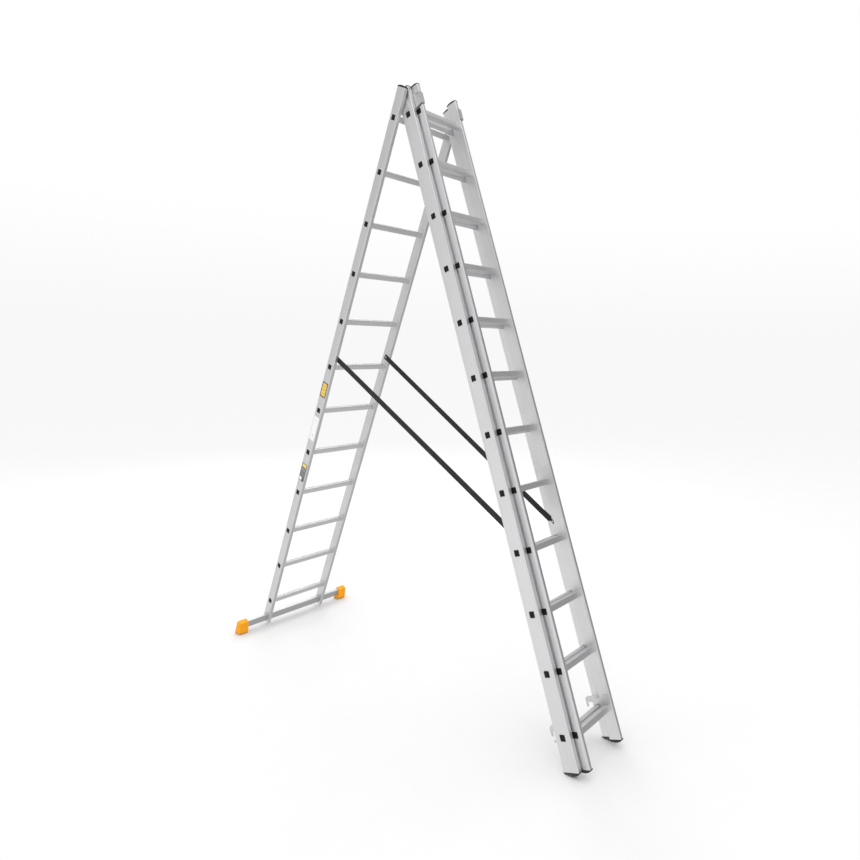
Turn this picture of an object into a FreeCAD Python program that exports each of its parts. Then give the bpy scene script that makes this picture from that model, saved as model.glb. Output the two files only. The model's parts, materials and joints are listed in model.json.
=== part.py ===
import FreeCAD, Part
import math
import os
from FreeCAD import Vector

# Three-section aluminium combination ladder, three times twelve rungs, standing as a trestle.
# Section A is the rear leg with the stabiliser bar, B is the front leg, and C slides on B.
# Millimetres and degrees. X runs along the rungs, -Y is the climbing side, +Z is up.
# Each section has a flat frame of its own: x across, "ahead" towards the climbing side of the
# rung axes, and "down" along the rails from the axis of the top rung.

os.makedirs("parts", exist_ok=True)

# ---------------------------------------------------------------- driving dimensions
RUNG_COUNT = 12
RUNG_PITCH = 280.0
GAP_THIRD_TO_SECOND = 265.0
GAP_SECOND_TO_FIRST = 276.0

LEAN_B = 20.3

WIDTH_A = 414.0
WIDTH_B = 358.0
WIDTH_C = 296.0
RAIL_WALL = 1.8
RAIL_CORNER = 4.0
RAIL_THICK_A = 21.0
RAIL_THICK_B = 23.5
RAIL_THICK_C = 18.5
RAIL_DEPTH_A = 61.0
RAIL_DEPTH_B = 83.0
RAIL_DEPTH_C = 66.0
RAIL_ABOVE_A = 150.0
RAIL_ABOVE_B = 138.0
RAIL_ABOVE_C = 138.0
RAIL_BELOW_A = 164.0
RAIL_BELOW_B = 148.0
RAIL_BELOW_C = 148.0

RUNG_DEPTH = 28.0
RUNG_HEIGHT = 29.0
RUNG_WALL = 2.2
RUNG_CORNER = 3.5
RIB_COUNT = 7
RIB_WIDTH = 1.6
RIB_HEIGHT = 0.7

PLUG_MARGIN = 0.2
PLUG_FLANGE = 1.5
PLUG_STEM = 12.0
PLUG_CLEARANCE = 0.15
PLUG_ROOM = 4.5

CAP_EDGE = 4.0
CAP_CROWN = 6.0
CAP_STEM = 14.0
FOOT_EDGE = 4.0
FOOT_CROWN_B = 13.0
FOOT_CROWN_C = 9.0
FOOT_OVERHANG = 1.0
FOOT_STEM = 30.0

NEST_CLEARANCE = 2.5
SLIDE_CLEARANCE = 1.5
PIVOT_ABOVE_RUNG = 35.0
PIVOT_RADIUS = 6.0
PIVOT_RUNNING_CLEARANCE = 0.05
HINGE_PLATE = 3.0
HINGE_EYE_RADIUS = 14.0
RIVET_RADIUS = 2.5
RIVET_HEAD_RADIUS = 4.6
RIVET_HEAD = 1.8
RIVET_TAIL = 3.0

BAR_LENGTH = 792.0
BAR_DEPTH = 25.0
BAR_HEIGHT = 46.0
BAR_WALL = 2.0
BAR_CORNER = 3.0
BAR_BELOW_RUNG = 129.0
BAR_ABOVE_GROUND = 54.23
BAR_SLOT_CLEARANCE = 0.2
BAR_BOLT_RADIUS = 4.0

SHOE_LENGTH = 58.0
SHOE_WALL = 3.5
SHOE_TOP = 4.0
SHOE_TOE = 19.0
SHOE_CLEARANCE = 0.1
SOLE = 5.0
SOLE_INSET = 2.0
SHOE_RECESS = 1.5

HOOK_PLATE = 4.0
HOOK_GAP = 0.3
HOOK_FINGER = 9.0
HOOK_ARM = 26.0
HOOK_REACH = 22.0
HOOK_LEG = 17.5
MOUTH_CLEARANCE = 1.5
LATCH_PLATE = 3.0
LATCH_ARM = 4.0
LATCH_BAR = 8.0
LATCH_DROP = 11.5
LATCH_PIN_RADIUS = 3.0
LATCH_SIDE_GAP = 0.3
SPRING_WIRE = 0.6
SPRING_TURNS = 2

GUIDE_PLATE = 2.4
GUIDE_HEIGHT = 78.0
GUIDE_ABOVE_RUNG = 20.0
GUIDE_LIP = 24.0
GUIDE_PAD = 1.8
GUIDE_RUNNING_GAP = 0.4

STRAP_WIDTH = 32.0
STRAP_THICK = 1.6
STRAP_SEAT_GAP = 0.1
STRAP_A_RUNG = 4
STRAP_A_BELOW_RUNG = 220.0
STRAP_A_AHEAD = 4.0
STRAP_B_RUNG = 7
STRAP_B_BELOW_RUNG = 200.0
STRAP_B_AHEAD = -8.0
STRAP_TAIL = 14.0
STRAP_FLAT_RUN = 90.0

LABEL_THICK = 0.4
LABEL_WIDTH = 50.0

# ---------------------------------------------------------------- sizes that follow
RUNGS = [RUNG_PITCH * i for i in range(RUNG_COUNT - 2)]
RUNGS.append(RUNGS[-1] + GAP_THIRD_TO_SECOND)
RUNGS.append(RUNGS[-1] + GAP_SECOND_TO_FIRST)
LOWEST = RUNGS[-1]
RUNG_FRONT = RUNG_DEPTH / 2
RUNG_TOP = RUNG_HEIGHT / 2 + RIB_HEIGHT
NEST_DEPTH = RAIL_DEPTH_B / 2 + RUNG_FRONT + NEST_CLEARANCE
C_AHEAD = RAIL_DEPTH_C / 2 + RUNG_FRONT + SLIDE_CLEARANCE
PIVOT_AHEAD_B = -RAIL_DEPTH_B / 2
PIVOT_AHEAD_A = NEST_DEPTH + PIVOT_AHEAD_B
BAR_DOWN = LOWEST + BAR_BELOW_RUNG
STRAP_A_DOWN = RUNGS[STRAP_A_RUNG] + STRAP_A_BELOW_RUNG
STRAP_B_DOWN = RUNGS[STRAP_B_RUNG] + STRAP_B_BELOW_RUNG


class Section:
    """One ladder section: its rails, and where its rung axes lie ahead of its frame."""

    def __init__(self, name, width, thick, depth, above, below, ahead):
        self.name = name
        self.outer = width / 2
        self.inner = width / 2 - thick
        self.middle = width / 2 - thick / 2
        self.depth = depth
        self.top = -above
        self.end = LOWEST + below
        self.ahead = ahead
        self.back = ahead - depth / 2
        self.front = ahead + depth / 2


A = Section("a", WIDTH_A, RAIL_THICK_A, RAIL_DEPTH_A, RAIL_ABOVE_A, RAIL_BELOW_A, 0.0)
B = Section("b", WIDTH_B, RAIL_THICK_B, RAIL_DEPTH_B, RAIL_ABOVE_B, RAIL_BELOW_B, 0.0)
C = Section("c", WIDTH_C, RAIL_THICK_C, RAIL_DEPTH_C, RAIL_ABOVE_C, RAIL_BELOW_C, C_AHEAD)


# ---------------------------------------------------------------- shapes in a section's frame
def at(x, ahead, down):
    """A point of a section's own flat frame."""
    return Vector(x, -ahead, -down)


def side_plate(points, x_low, x_high):
    """A flat plate whose outline is given as (ahead, down) points, thick along x."""
    wire = Part.makePolygon([at(x_low, *p) for p in points] + [at(x_low, *points[0])])
    return Part.Face(wire).extrude(Vector(x_high - x_low, 0, 0))


def block(x_low, x_high, ahead_low, ahead_high, down_low, down_high):
    corner = at(x_low, ahead_high, down_high)
    size = (x_high - x_low, ahead_high - ahead_low, down_high - down_low)
    return Part.makeBox(*size, corner)


def rounded(shape, radius, direction):
    """Rounds the straight edges of a block that run along a direction."""
    edges = []
    for edge in shape.Edges:
        run = edge.Vertexes[1].Point - edge.Vertexes[0].Point
        if run.normalize().cross(direction).Length < 1e-6:
            edges.append(edge)
    return shape.makeFillet(radius, edges)


ALONG_X = Vector(1, 0, 0)
ALONG_RAIL = Vector(0, 0, 1)


def rod(radius, x_low, x_high, ahead, down):
    return Part.makeCylinder(radius, x_high - x_low, at(x_low, ahead, down), ALONG_X)


def tube_across(x_half, ahead, down, depth, height, wall, corner):
    """A hollow bar across the ladder, with rounded corners."""
    outside = block(-x_half, x_half, ahead - depth / 2, ahead + depth / 2,
                    down - height / 2, down + height / 2)
    inside = block(-x_half, x_half, ahead - depth / 2 + wall, ahead + depth / 2 - wall,
                   down - height / 2 + wall, down + height / 2 - wall)
    return rounded(outside, corner, ALONG_X).cut(rounded(inside, corner - wall / 2, ALONG_X))


def both_sides(shape):
    return [shape, shape.mirror(Vector(0, 0, 0), ALONG_X)]


def cut_all(shape, tools):
    for tool in tools:
        shape = shape.cut(tool)
    return shape


# ---------------------------------------------------------------- rails, rungs, plugs, caps, feet
def rung_envelope(section, down):
    """The outside of a rung, through both rails."""
    body = block(-section.outer, section.outer, section.ahead - RUNG_DEPTH / 2,
                 section.ahead + RUNG_DEPTH / 2, down - RUNG_HEIGHT / 2, down + RUNG_HEIGHT / 2)
    return rounded(body, RUNG_CORNER, ALONG_X)


def rail(section, fasteners):
    """The right-hand rail: a box extrusion, pierced for the rungs and its fasteners."""
    outside = block(section.inner, section.outer, section.back, section.front,
                    section.top, section.end)
    hollow = block(section.inner + RAIL_WALL, section.outer - RAIL_WALL,
                   section.back + RAIL_WALL, section.front - RAIL_WALL,
                   section.top, section.end)
    body = rounded(outside, RAIL_CORNER, ALONG_RAIL)
    body = body.cut(rounded(hollow, RAIL_CORNER - RAIL_WALL, ALONG_RAIL))
    return cut_all(body, [rung_envelope(section, down) for down in RUNGS] + fasteners)


def rungs(section):
    """Hollow rungs through both rails, with ribs on the tread and under it."""
    spacing = (RUNG_DEPTH - 2 * RUNG_CORNER - RIB_WIDTH) / (RIB_COUNT - 1)
    made = []
    for down in RUNGS:
        rung = tube_across(section.outer, section.ahead, down, RUNG_DEPTH, RUNG_HEIGHT,
                           RUNG_WALL, RUNG_CORNER)
        ribs = []
        for i in range(RIB_COUNT):
            low = section.ahead - RUNG_DEPTH / 2 + RUNG_CORNER + i * spacing
            for face in (down - RUNG_TOP, down + RUNG_HEIGHT / 2 - 0.1):
                ribs.append(block(-section.inner, section.inner, low, low + RIB_WIDTH,
                                  face, face + RIB_HEIGHT + 0.1))
        made.append(rung.fuse(ribs).removeSplitter())
    return made


def plugs(section):
    """Plugs that close the rung ends on the outer faces of the rails."""
    half_depth = RUNG_DEPTH / 2 - PLUG_MARGIN
    half_height = RUNG_HEIGHT / 2 - PLUG_MARGIN
    stem_depth = RUNG_DEPTH / 2 - RUNG_WALL - PLUG_CLEARANCE
    stem_height = RUNG_HEIGHT / 2 - RUNG_WALL - PLUG_CLEARANCE
    made = []
    for down in RUNGS:
        flange = block(section.outer, section.outer + PLUG_FLANGE,
                       section.ahead - half_depth, section.ahead + half_depth,
                       down - half_height, down + half_height)
        stem = block(section.outer - PLUG_STEM, section.outer,
                     section.ahead - stem_depth, section.ahead + stem_depth,
                     down - stem_height, down + stem_height)
        stem = rounded(stem, RUNG_CORNER - RUNG_WALL / 2, ALONG_X)
        made += both_sides(rounded(flange, RUNG_CORNER, ALONG_X).fuse(stem))
    return made


def end_cap(section, end, sign, edge, crown, overhang, stem):
    """A domed cap on a rail's end. sign is -1 at the top end and 1 at the bottom end."""
    back = section.back - overhang
    front = section.front + overhang
    shoulder = end + sign * edge
    side = Part.makePolygon([at(0, back, shoulder), at(0, back, end), at(0, front, end),
                             at(0, front, shoulder)])
    dome = Part.Arc(at(0, front, shoulder), at(0, section.ahead, end + sign * (edge + crown)),
                    at(0, back, shoulder)).toShape()
    outline = Part.Wire(side.Edges + [dome])
    outline.translate(Vector(section.inner - overhang, 0, 0))
    thick = section.outer - section.inner + 2 * overhang
    cap = Part.Face(outline).extrude(Vector(thick, 0, 0))
    gap = RAIL_WALL + PLUG_CLEARANCE
    low, high = sorted((end, end - sign * stem))
    spigot = block(section.inner + gap, section.outer - gap, section.back + gap,
                   section.front - gap, low, high)
    return cap.fuse(rounded(spigot, RAIL_CORNER - RAIL_WALL, ALONG_RAIL))


def top_caps(section):
    return both_sides(end_cap(section, section.top, -1, CAP_EDGE, CAP_CROWN, 0.0, CAP_STEM))


def foot(section, crown):
    return end_cap(section, section.end, 1, FOOT_EDGE, crown, FOOT_OVERHANG, FOOT_STEM)


def dome_radius(section, crown):
    half = section.depth / 2 + FOOT_OVERHANG
    return (half * half + crown * crown) / (2 * crown)


# ---------------------------------------------------------------- rivets
def inward_rivet(face, head_side, ahead, down, plate):
    """A rivet through a plate and a rail wall. face is the rail's face that the plate lies on,
    and head_side is 1 where the head points to +x."""
    head = face + head_side * plate
    inside = face - head_side * (RAIL_WALL + RIVET_TAIL)
    shank = rod(RIVET_RADIUS, min(head, inside), max(head, inside), ahead, down)
    low, high = sorted((head, head + head_side * RIVET_HEAD))
    return shank.fuse(rod(RIVET_HEAD_RADIUS, low, high, ahead, down))


def flush_rivet(face, head_side, ahead, down, plate):
    """The same without a raised head, where another plate runs close by."""
    head = face + head_side * plate
    inside = face - head_side * (RAIL_WALL + RIVET_TAIL)
    return rod(RIVET_RADIUS, min(head, inside), max(head, inside), ahead, down)


# ---------------------------------------------------------------- fold hinge
HINGE_A_RIVETS = [(PIVOT_AHEAD_A - 4, -100.0), (PIVOT_AHEAD_A - 18, -72.0), (PIVOT_AHEAD_A - 4, -64.0)]
HINGE_B_RIVETS = [(PIVOT_AHEAD_B + 14, -92.0), (PIVOT_AHEAD_B + 40, -70.0), (PIVOT_AHEAD_B + 26, -46.0)]


def eye(ahead, x_low, x_high, radius):
    return rod(radius, x_low, x_high, ahead, -PIVOT_ABOVE_RUNG)


def hinge_plate_a():
    """Plate on the inner face of an A rail, with the running eye of the fold."""
    x_low, x_high = A.inner - HINGE_PLATE, A.inner
    pivot = PIVOT_AHEAD_A
    low = -PIVOT_ABOVE_RUNG
    blade = side_plate([(pivot - HINGE_EYE_RADIUS, low), (pivot + 12.0, low),
                        (pivot + 10.0, -112.0), (pivot - 26.0, -112.0), (pivot - 30.0, -70.0)],
                       x_low, x_high)
    plate = blade.fuse(eye(pivot, x_low, x_high, HINGE_EYE_RADIUS))
    bore = eye(pivot, x_low, x_high, PIVOT_RADIUS + PIVOT_RUNNING_CLEARANCE)
    return cut_all(plate.removeSplitter(), [bore] + hinge_rivets_a())


def hinge_rivets_a():
    return [flush_rivet(A.inner, -1, *spot, HINGE_PLATE) for spot in HINGE_A_RIVETS]


def hinge_plate_b():
    """Plate on the outer face of a B rail. Its lower edge curves round the top rung's plug."""
    x_low, x_high = B.outer, B.outer + HINGE_PLATE
    pivot = PIVOT_AHEAD_B
    low = -PIVOT_ABOVE_RUNG
    blade = side_plate([(pivot, low + HINGE_EYE_RADIUS), (12.0, -12.0), (16.0, -40.0),
                        (10.0, -104.0), (pivot + 4.0, -104.0), (pivot - HINGE_EYE_RADIUS, low)],
                       x_low, x_high)
    plate = blade.fuse(eye(pivot, x_low, x_high, HINGE_EYE_RADIUS))
    plug_room = rod(max(RUNG_DEPTH, RUNG_HEIGHT) / 2 + PLUG_ROOM, x_low, x_high, 0.0, 0.0)
    bore = eye(pivot, x_low, x_high, PIVOT_RADIUS)
    return cut_all(plate.removeSplitter(), [bore, plug_room] + hinge_rivets_b())


def hinge_rivets_b():
    return [flush_rivet(B.outer, 1, *spot, HINGE_PLATE) for spot in HINGE_B_RIVETS]


def pivot_pin():
    return eye(PIVOT_AHEAD_B, B.outer, A.inner - 0.2, PIVOT_RADIUS)


def pivot_washer():
    x_low = B.outer + HINGE_PLATE
    x_high = A.inner - HINGE_PLATE - 0.2
    ring = eye(PIVOT_AHEAD_B, x_low, x_high, HINGE_EYE_RADIUS - 3.0)
    return ring.cut(eye(PIVOT_AHEAD_B, x_low, x_high, PIVOT_RADIUS))


# ---------------------------------------------------------------- guides of C on B
GUIDE_RIVETS = [(0.0, -GUIDE_ABOVE_RUNG - 20), (0.0, -GUIDE_ABOVE_RUNG - GUIDE_HEIGHT + 16),
                (24.0, -GUIDE_ABOVE_RUNG - GUIDE_HEIGHT / 2)]


def guide_bracket():
    """Bracket inside a B rail that wraps the front edge of the C rail."""
    down_low = -GUIDE_ABOVE_RUNG - GUIDE_HEIGHT
    down_high = -GUIDE_ABOVE_RUNG
    x_low, x_high = B.inner - GUIDE_PLATE, B.inner
    lip_back = C.front + GUIDE_PAD + GUIDE_RUNNING_GAP
    web = side_plate([(-12.0, down_low + 14), (-12.0, down_high), (B.front, down_high),
                      (lip_back + GUIDE_PLATE, down_high - 8), (lip_back + GUIDE_PLATE, down_low + 8),
                      (B.front, down_low), (4.0, down_low)], x_low, x_high)
    lip = block(x_high - GUIDE_PLATE - GUIDE_LIP, x_high, lip_back, lip_back + GUIDE_PLATE,
                down_low + 8, down_high - 8)
    return cut_all(web.fuse(lip).removeSplitter(), guide_rivets())


def guide_rivets():
    return [inward_rivet(B.inner, -1, *spot, GUIDE_PLATE) for spot in GUIDE_RIVETS]


def guide_pads():
    """Slide pads in the bracket, ahead of the C rail and beside it."""
    down_low = -GUIDE_ABOVE_RUNG - GUIDE_HEIGHT + 10
    down_high = -GUIDE_ABOVE_RUNG - 10
    x_back = B.inner - GUIDE_PLATE
    ahead_low = C.front + GUIDE_RUNNING_GAP
    front_pad = block(x_back - GUIDE_LIP + 2, x_back, ahead_low, ahead_low + GUIDE_PAD,
                      down_low, down_high)
    side_pad = block(C.outer + GUIDE_RUNNING_GAP, x_back, C.front - 14, ahead_low,
                     down_low, down_high)
    return front_pad.fuse(side_pad).removeSplitter()


# ---------------------------------------------------------------- hooks and latches
class Hook:
    """A hook on the lowest rung's rail that reaches over a rung of the section behind it."""

    def __init__(self, section, x_low, rung_ahead):
        self.section = section
        self.x_low = x_low
        self.x_high = x_low + HOOK_PLATE
        self.mouth_front = rung_ahead + RUNG_FRONT + MOUTH_CLEARANCE
        self.mouth_back = rung_ahead - RUNG_FRONT - MOUTH_CLEARANCE
        self.tip = self.mouth_back - HOOK_FINGER
        self.under = LOWEST - RUNG_TOP - HOOK_GAP
        self.top = self.under - HOOK_ARM
        self.latch_top = LOWEST + RUNG_TOP + LATCH_DROP
        self.leg_end = LOWEST + RUNG_TOP + 2
        self.pin = (self.mouth_front + HOOK_LEG / 2, self.leg_end - 9)
        self.rivets = [(section.ahead - 8, self.top - 8), (section.ahead + 10, self.top + 6)]

    def plate(self):
        section, tip, top = self.section, self.tip, self.top
        front = self.mouth_front
        outline = [(section.ahead + 20, top - 20), (section.ahead + 20, self.under),
                   (front + HOOK_LEG, self.under), (front + HOOK_LEG, self.leg_end),
                   (front + 3, self.leg_end), (front, self.leg_end - 5), (front, self.under),
                   (self.mouth_back, self.under), (self.mouth_back, self.under + HOOK_REACH),
                   (tip + 2, self.under + HOOK_REACH), (tip, self.under + HOOK_REACH - 4),
                   (tip, top + 10), (tip + 10, top), (section.ahead - 20, top - 8),
                   (section.ahead - 10, top - 20)]
        body = side_plate(outline, self.x_low, self.x_high)
        hole = rod(LATCH_PIN_RADIUS, self.x_low, self.x_high, *self.pin)
        return cut_all(body, [hole] + self.rivet_solids())

    def rivet_solids(self):
        return [inward_rivet(self.x_high, -1, *spot, HOOK_PLATE) for spot in self.rivets]

    def latch(self):
        """Lever on the hook's leg whose foot closes the mouth from below."""
        ahead, down = self.pin
        x_high = self.x_low - LATCH_SIDE_GAP
        x_low = x_high - LATCH_PLATE
        foot_end = self.latch_top + LATCH_BAR
        heel = ahead + LATCH_ARM - 2
        arm = side_plate([(ahead - LATCH_ARM, down), (ahead + LATCH_ARM, down), (heel, foot_end),
                          (self.mouth_back - 4, foot_end), (self.mouth_back - 4, self.latch_top),
                          (ahead - LATCH_ARM, self.latch_top)], x_low, x_high)
        boss = rod(LATCH_ARM + 2, x_low, x_high, ahead, down)
        bore = rod(LATCH_PIN_RADIUS + PIVOT_RUNNING_CLEARANCE, x_low, x_high, ahead, down)
        return arm.fuse(boss).removeSplitter().cut(bore)

    def latch_pin(self):
        """Pin through the hook plate, with a head that keeps the latch and its spring on."""
        x_head = self.x_low - 2 * LATCH_SIDE_GAP - LATCH_PLATE - self.spring_width()
        shank = rod(LATCH_PIN_RADIUS, x_head, self.x_high, *self.pin)
        return shank.fuse(rod(LATCH_PIN_RADIUS + 2.6, x_head - 1.5, x_head, *self.pin))

    def spring_width(self):
        return SPRING_TURNS * 2 * SPRING_WIRE + LATCH_SIDE_GAP

    def spring(self):
        """Turns of the latch spring round the pin, between the latch and the pin's head."""
        x_first = self.x_low - LATCH_SIDE_GAP - LATCH_PLATE - LATCH_SIDE_GAP - SPRING_WIRE
        turns = []
        for i in range(SPRING_TURNS):
            centre = at(x_first - i * 2 * SPRING_WIRE, *self.pin)
            turns.append(Part.makeTorus(LATCH_PIN_RADIUS + SPRING_WIRE + 0.1, SPRING_WIRE,
                                        centre, ALONG_X))
        return turns


HOOK_C = Hook(C, C.inner - HOOK_PLATE, 0.0)
HOOK_B = Hook(B, B.inner - HOOK_PLATE, -NEST_DEPTH)


# ---------------------------------------------------------------- stabiliser bar and its shoes
def down_at_height(ahead, height):
    """How far down section A a level line at a height above the ground is met."""
    lean = math.radians(LEAN_A)
    return (top_rung_height_a() - height - ahead * math.sin(lean)) / math.cos(lean)


def bar():
    return tube_across(BAR_LENGTH / 2, 0.0, BAR_DOWN, BAR_DEPTH, BAR_HEIGHT, BAR_WALL,
                       BAR_CORNER)


def bar_slot():
    half_depth = BAR_DEPTH / 2 + BAR_SLOT_CLEARANCE
    half_height = BAR_HEIGHT / 2 + BAR_SLOT_CLEARANCE
    slot = block(-A.outer - 1, A.outer + 1, -half_depth, half_depth,
                 BAR_DOWN - half_height, BAR_DOWN + half_height)
    return rounded(slot, BAR_CORNER, ALONG_X)


def bar_bolt():
    """Bolt from behind a rail into a threaded insert in the bar."""
    back_wall = A.back
    aim = Vector(0, -1, 0)
    start = at(A.middle, back_wall, BAR_DOWN)
    shank = Part.makeCylinder(BAR_BOLT_RADIUS, -back_wall, start, aim)
    head = Part.makeCylinder(BAR_BOLT_RADIUS + 3, 4.5, start, aim * -1)
    return shank.fuse(head)


def bar_insert():
    inner_wall = -BAR_DEPTH / 2 + BAR_WALL
    aim = Vector(0, -1, 0)
    start = at(A.middle, inner_wall, BAR_DOWN)
    body = Part.makeCylinder(BAR_BOLT_RADIUS + 3, 7.0, start, aim)
    return body.cut(Part.makeCylinder(BAR_BOLT_RADIUS, 7.0, start, aim))


def shoe_outline(wall_back, wall_front, height):
    """Side view of a shoe: round the bar at the top, level at the bottom."""
    top = BAR_DOWN - BAR_HEIGHT / 2 - SHOE_TOP
    back = -BAR_DEPTH / 2 - wall_back
    front = BAR_DEPTH / 2 + wall_front
    toe = front + SHOE_TOE
    return [(back, top), (front, top), (toe, down_at_height(toe, height)),
            (back + 2, down_at_height(back + 2, height))]


def shoe():
    outer_end = BAR_LENGTH / 2 + SHOE_WALL
    body = side_plate(shoe_outline(SHOE_WALL, SHOE_WALL, SOLE), outer_end - SHOE_LENGTH, outer_end)
    half_depth = BAR_DEPTH / 2 + SHOE_CLEARANCE
    half_height = BAR_HEIGHT / 2 + SHOE_CLEARANCE
    socket = block(0, BAR_LENGTH / 2 + SHOE_CLEARANCE, -half_depth, half_depth,
                   BAR_DOWN - half_height, BAR_DOWN + half_height)
    top = BAR_DOWN - BAR_HEIGHT / 2 - SHOE_TOP
    front = BAR_DEPTH / 2 + SHOE_WALL
    level = down_at_height(front, SOLE)
    slope = SHOE_TOE / (down_at_height(front + SHOE_TOE, SOLE) - top)
    recess_top, recess_end = top + 14, level - 18
    face_top = front + slope * (recess_top - top)
    face_end = front + slope * (recess_end - top)
    recess = side_plate([(face_top - SHOE_RECESS, recess_top), (face_top + 9, recess_top),
                         (face_end + 9, recess_end), (face_end - SHOE_RECESS, recess_end)],
                        outer_end - SHOE_LENGTH + 12, outer_end - 12)
    return cut_all(body, [rounded(socket, BAR_CORNER, ALONG_X), recess])


def sole():
    outer_end = BAR_LENGTH / 2 + SHOE_WALL - SOLE_INSET
    points = shoe_outline(SHOE_WALL - SOLE_INSET, SHOE_WALL - SOLE_INSET, SOLE)
    low = shoe_outline(SHOE_WALL - SOLE_INSET, SHOE_WALL - SOLE_INSET, 0.0)
    outline = [points[3], points[2], low[2], low[3]]
    return side_plate(outline, outer_end - SHOE_LENGTH + 2 * SOLE_INSET, outer_end)


# ---------------------------------------------------------------- where the sections stand
def pivot_height():
    """Height of the fold axis when the domes of B's feet touch the ground."""
    lean = math.radians(LEAN_B)
    radius = dome_radius(B, FOOT_CROWN_B)
    along = B.end + FOOT_EDGE + FOOT_CROWN_B - radius + PIVOT_ABOVE_RUNG
    return along * math.cos(lean) + PIVOT_AHEAD_B * math.sin(lean) + radius


def rear_lean():
    """Lean of section A that holds the stabiliser bar's axis at its height above the ground."""
    along = BAR_DOWN + PIVOT_ABOVE_RUNG
    drop = pivot_height() - BAR_ABOVE_GROUND
    angle = math.acos(drop / math.hypot(along, PIVOT_AHEAD_A)) - math.atan(PIVOT_AHEAD_A / along)
    return math.degrees(angle)


def top_rung_height_a():
    lean = math.radians(LEAN_A)
    return pivot_height() - PIVOT_ABOVE_RUNG * math.cos(lean) + PIVOT_AHEAD_A * math.sin(lean)


def world(pivot_ahead, lean, y_pivot):
    """Placement of a section's frame: its pivot point goes to the fold axis, leaning."""
    turn = FreeCAD.Rotation(ALONG_X, lean)
    pivot = at(0, pivot_ahead, -PIVOT_ABOVE_RUNG)
    return FreeCAD.Placement(Vector(0, y_pivot, pivot_height()) - turn.multVec(pivot), turn)


def placed(shape, placement):
    moved = shape.copy()
    moved.Placement = placement.multiply(moved.Placement)
    return moved


def box_in_place(shape, placement):
    return placed(shape, placement).BoundBox


LEAN_A = rear_lean()

# The two ends of the footprint set the middle, which is the origin.
SHOE = shoe()
FOOT_B = foot(B, FOOT_CROWN_B)
FOOT_C = foot(C, FOOT_CROWN_C)
REAR = box_in_place(SHOE, world(PIVOT_AHEAD_A, LEAN_A, 0.0)).YMax
FORWARD = box_in_place(FOOT_C, world(PIVOT_AHEAD_B, -LEAN_B, 0.0)).YMin
PIVOT_Y = -(REAR + FORWARD) / 2
WORLD_A = world(PIVOT_AHEAD_A, LEAN_A, PIVOT_Y)
WORLD_B = world(PIVOT_AHEAD_B, -LEAN_B, PIVOT_Y)


# ---------------------------------------------------------------- straps
def strap():
    """Flat webbing from the inner face of the A rail to the inner face of the B rail, taut."""
    x_a = A.inner - STRAP_SEAT_GAP - STRAP_THICK
    x_b = B.inner - STRAP_SEAT_GAP - STRAP_THICK
    end_a = WORLD_A.multVec(at(0, STRAP_A_AHEAD, STRAP_A_DOWN))
    end_b = WORLD_B.multVec(at(0, STRAP_B_AHEAD, STRAP_B_DOWN))
    along = (end_b - end_a).normalize()
    across = along.cross(ALONG_X)
    length = (end_b - end_a).Length
    path = [(-STRAP_TAIL, x_a), (STRAP_TAIL, x_a), (length - STRAP_FLAT_RUN, x_b),
            (length + STRAP_TAIL, x_b)]
    edge = path + [(t, x + STRAP_THICK) for t, x in reversed(path)]
    start = end_a - across * (STRAP_WIDTH / 2)
    corners = [start + along * t + ALONG_X * x for t, x in edge]
    return Part.Face(Part.makePolygon(corners + corners[:1])).extrude(across * STRAP_WIDTH)


def strap_rivet(inner_face, ahead, down):
    """Rivet through a strap's end and the inner wall of a rail."""
    return inward_rivet(inner_face, -1, ahead, down, STRAP_THICK + STRAP_SEAT_GAP)


# ---------------------------------------------------------------- labels on the outer face of A
LABELS = {"label_warning": (1500.0, 92.0), "label_notes": (1722.0, 156.0),
          "label_rating": (2041.0, 118.0)}


def label(down, length):
    return block(-A.outer - LABEL_THICK, -A.outer, -LABEL_WIDTH / 2, LABEL_WIDTH / 2,
                 down, down + length)


# ---------------------------------------------------------------- export
def save(name, shapes, placement=None):
    if placement:
        shapes = [placed(shape, placement) for shape in shapes]
    whole = shapes[0] if len(shapes) == 1 else Part.makeCompound(shapes)
    whole.exportStep("parts/" + name + ".step")


def save_pair(name, shape, placement=None):
    """The right-hand piece is on +x, and its mirror image is the left-hand one."""
    right, left = both_sides(shape)
    save(name + "_right", [right], placement)
    save(name + "_left", [left], placement)


def both_sides_of(shapes):
    return [side for shape in shapes for side in both_sides(shape)]


# The strap's rivet hole is cut in the world frame, so the rivets are made once for both uses.
STRAP_RIVET_A = strap_rivet(A.inner, STRAP_A_AHEAD, STRAP_A_DOWN)
STRAP_RIVET_B = strap_rivet(B.inner, STRAP_B_AHEAD, STRAP_B_DOWN)
STRAP = cut_all(strap(), [placed(STRAP_RIVET_A, WORLD_A), placed(STRAP_RIVET_B, WORLD_B)])


def save_section(section, placement, fasteners):
    save_pair("rail_" + section.name, rail(section, fasteners), placement)
    save("rungs_" + section.name, rungs(section), placement)
    save("rung_plugs_" + section.name, plugs(section), placement)
    save("top_caps_" + section.name, top_caps(section), placement)


# section A: rear leg with the stabiliser bar
save_section(A, WORLD_A, hinge_rivets_a() + [STRAP_RIVET_A, bar_slot(), bar_bolt()])
save("hinge_plates_a", both_sides(hinge_plate_a()), WORLD_A)
save("hinge_rivets_a", both_sides_of(hinge_rivets_a()), WORLD_A)
save("stabiliser_bar", [cut_all(bar(), both_sides(bar_bolt()))], WORLD_A)
save("stabiliser_bolts", both_sides(bar_bolt()), WORLD_A)
save("stabiliser_inserts", both_sides(bar_insert()), WORLD_A)
save_pair("stabiliser_shoe", SHOE, WORLD_A)
save_pair("stabiliser_sole", sole(), WORLD_A)
save("strap_rivets_a", both_sides(STRAP_RIVET_A), WORLD_A)
for name, (down, length) in LABELS.items():
    save(name, [label(down, length)], WORLD_A)

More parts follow.
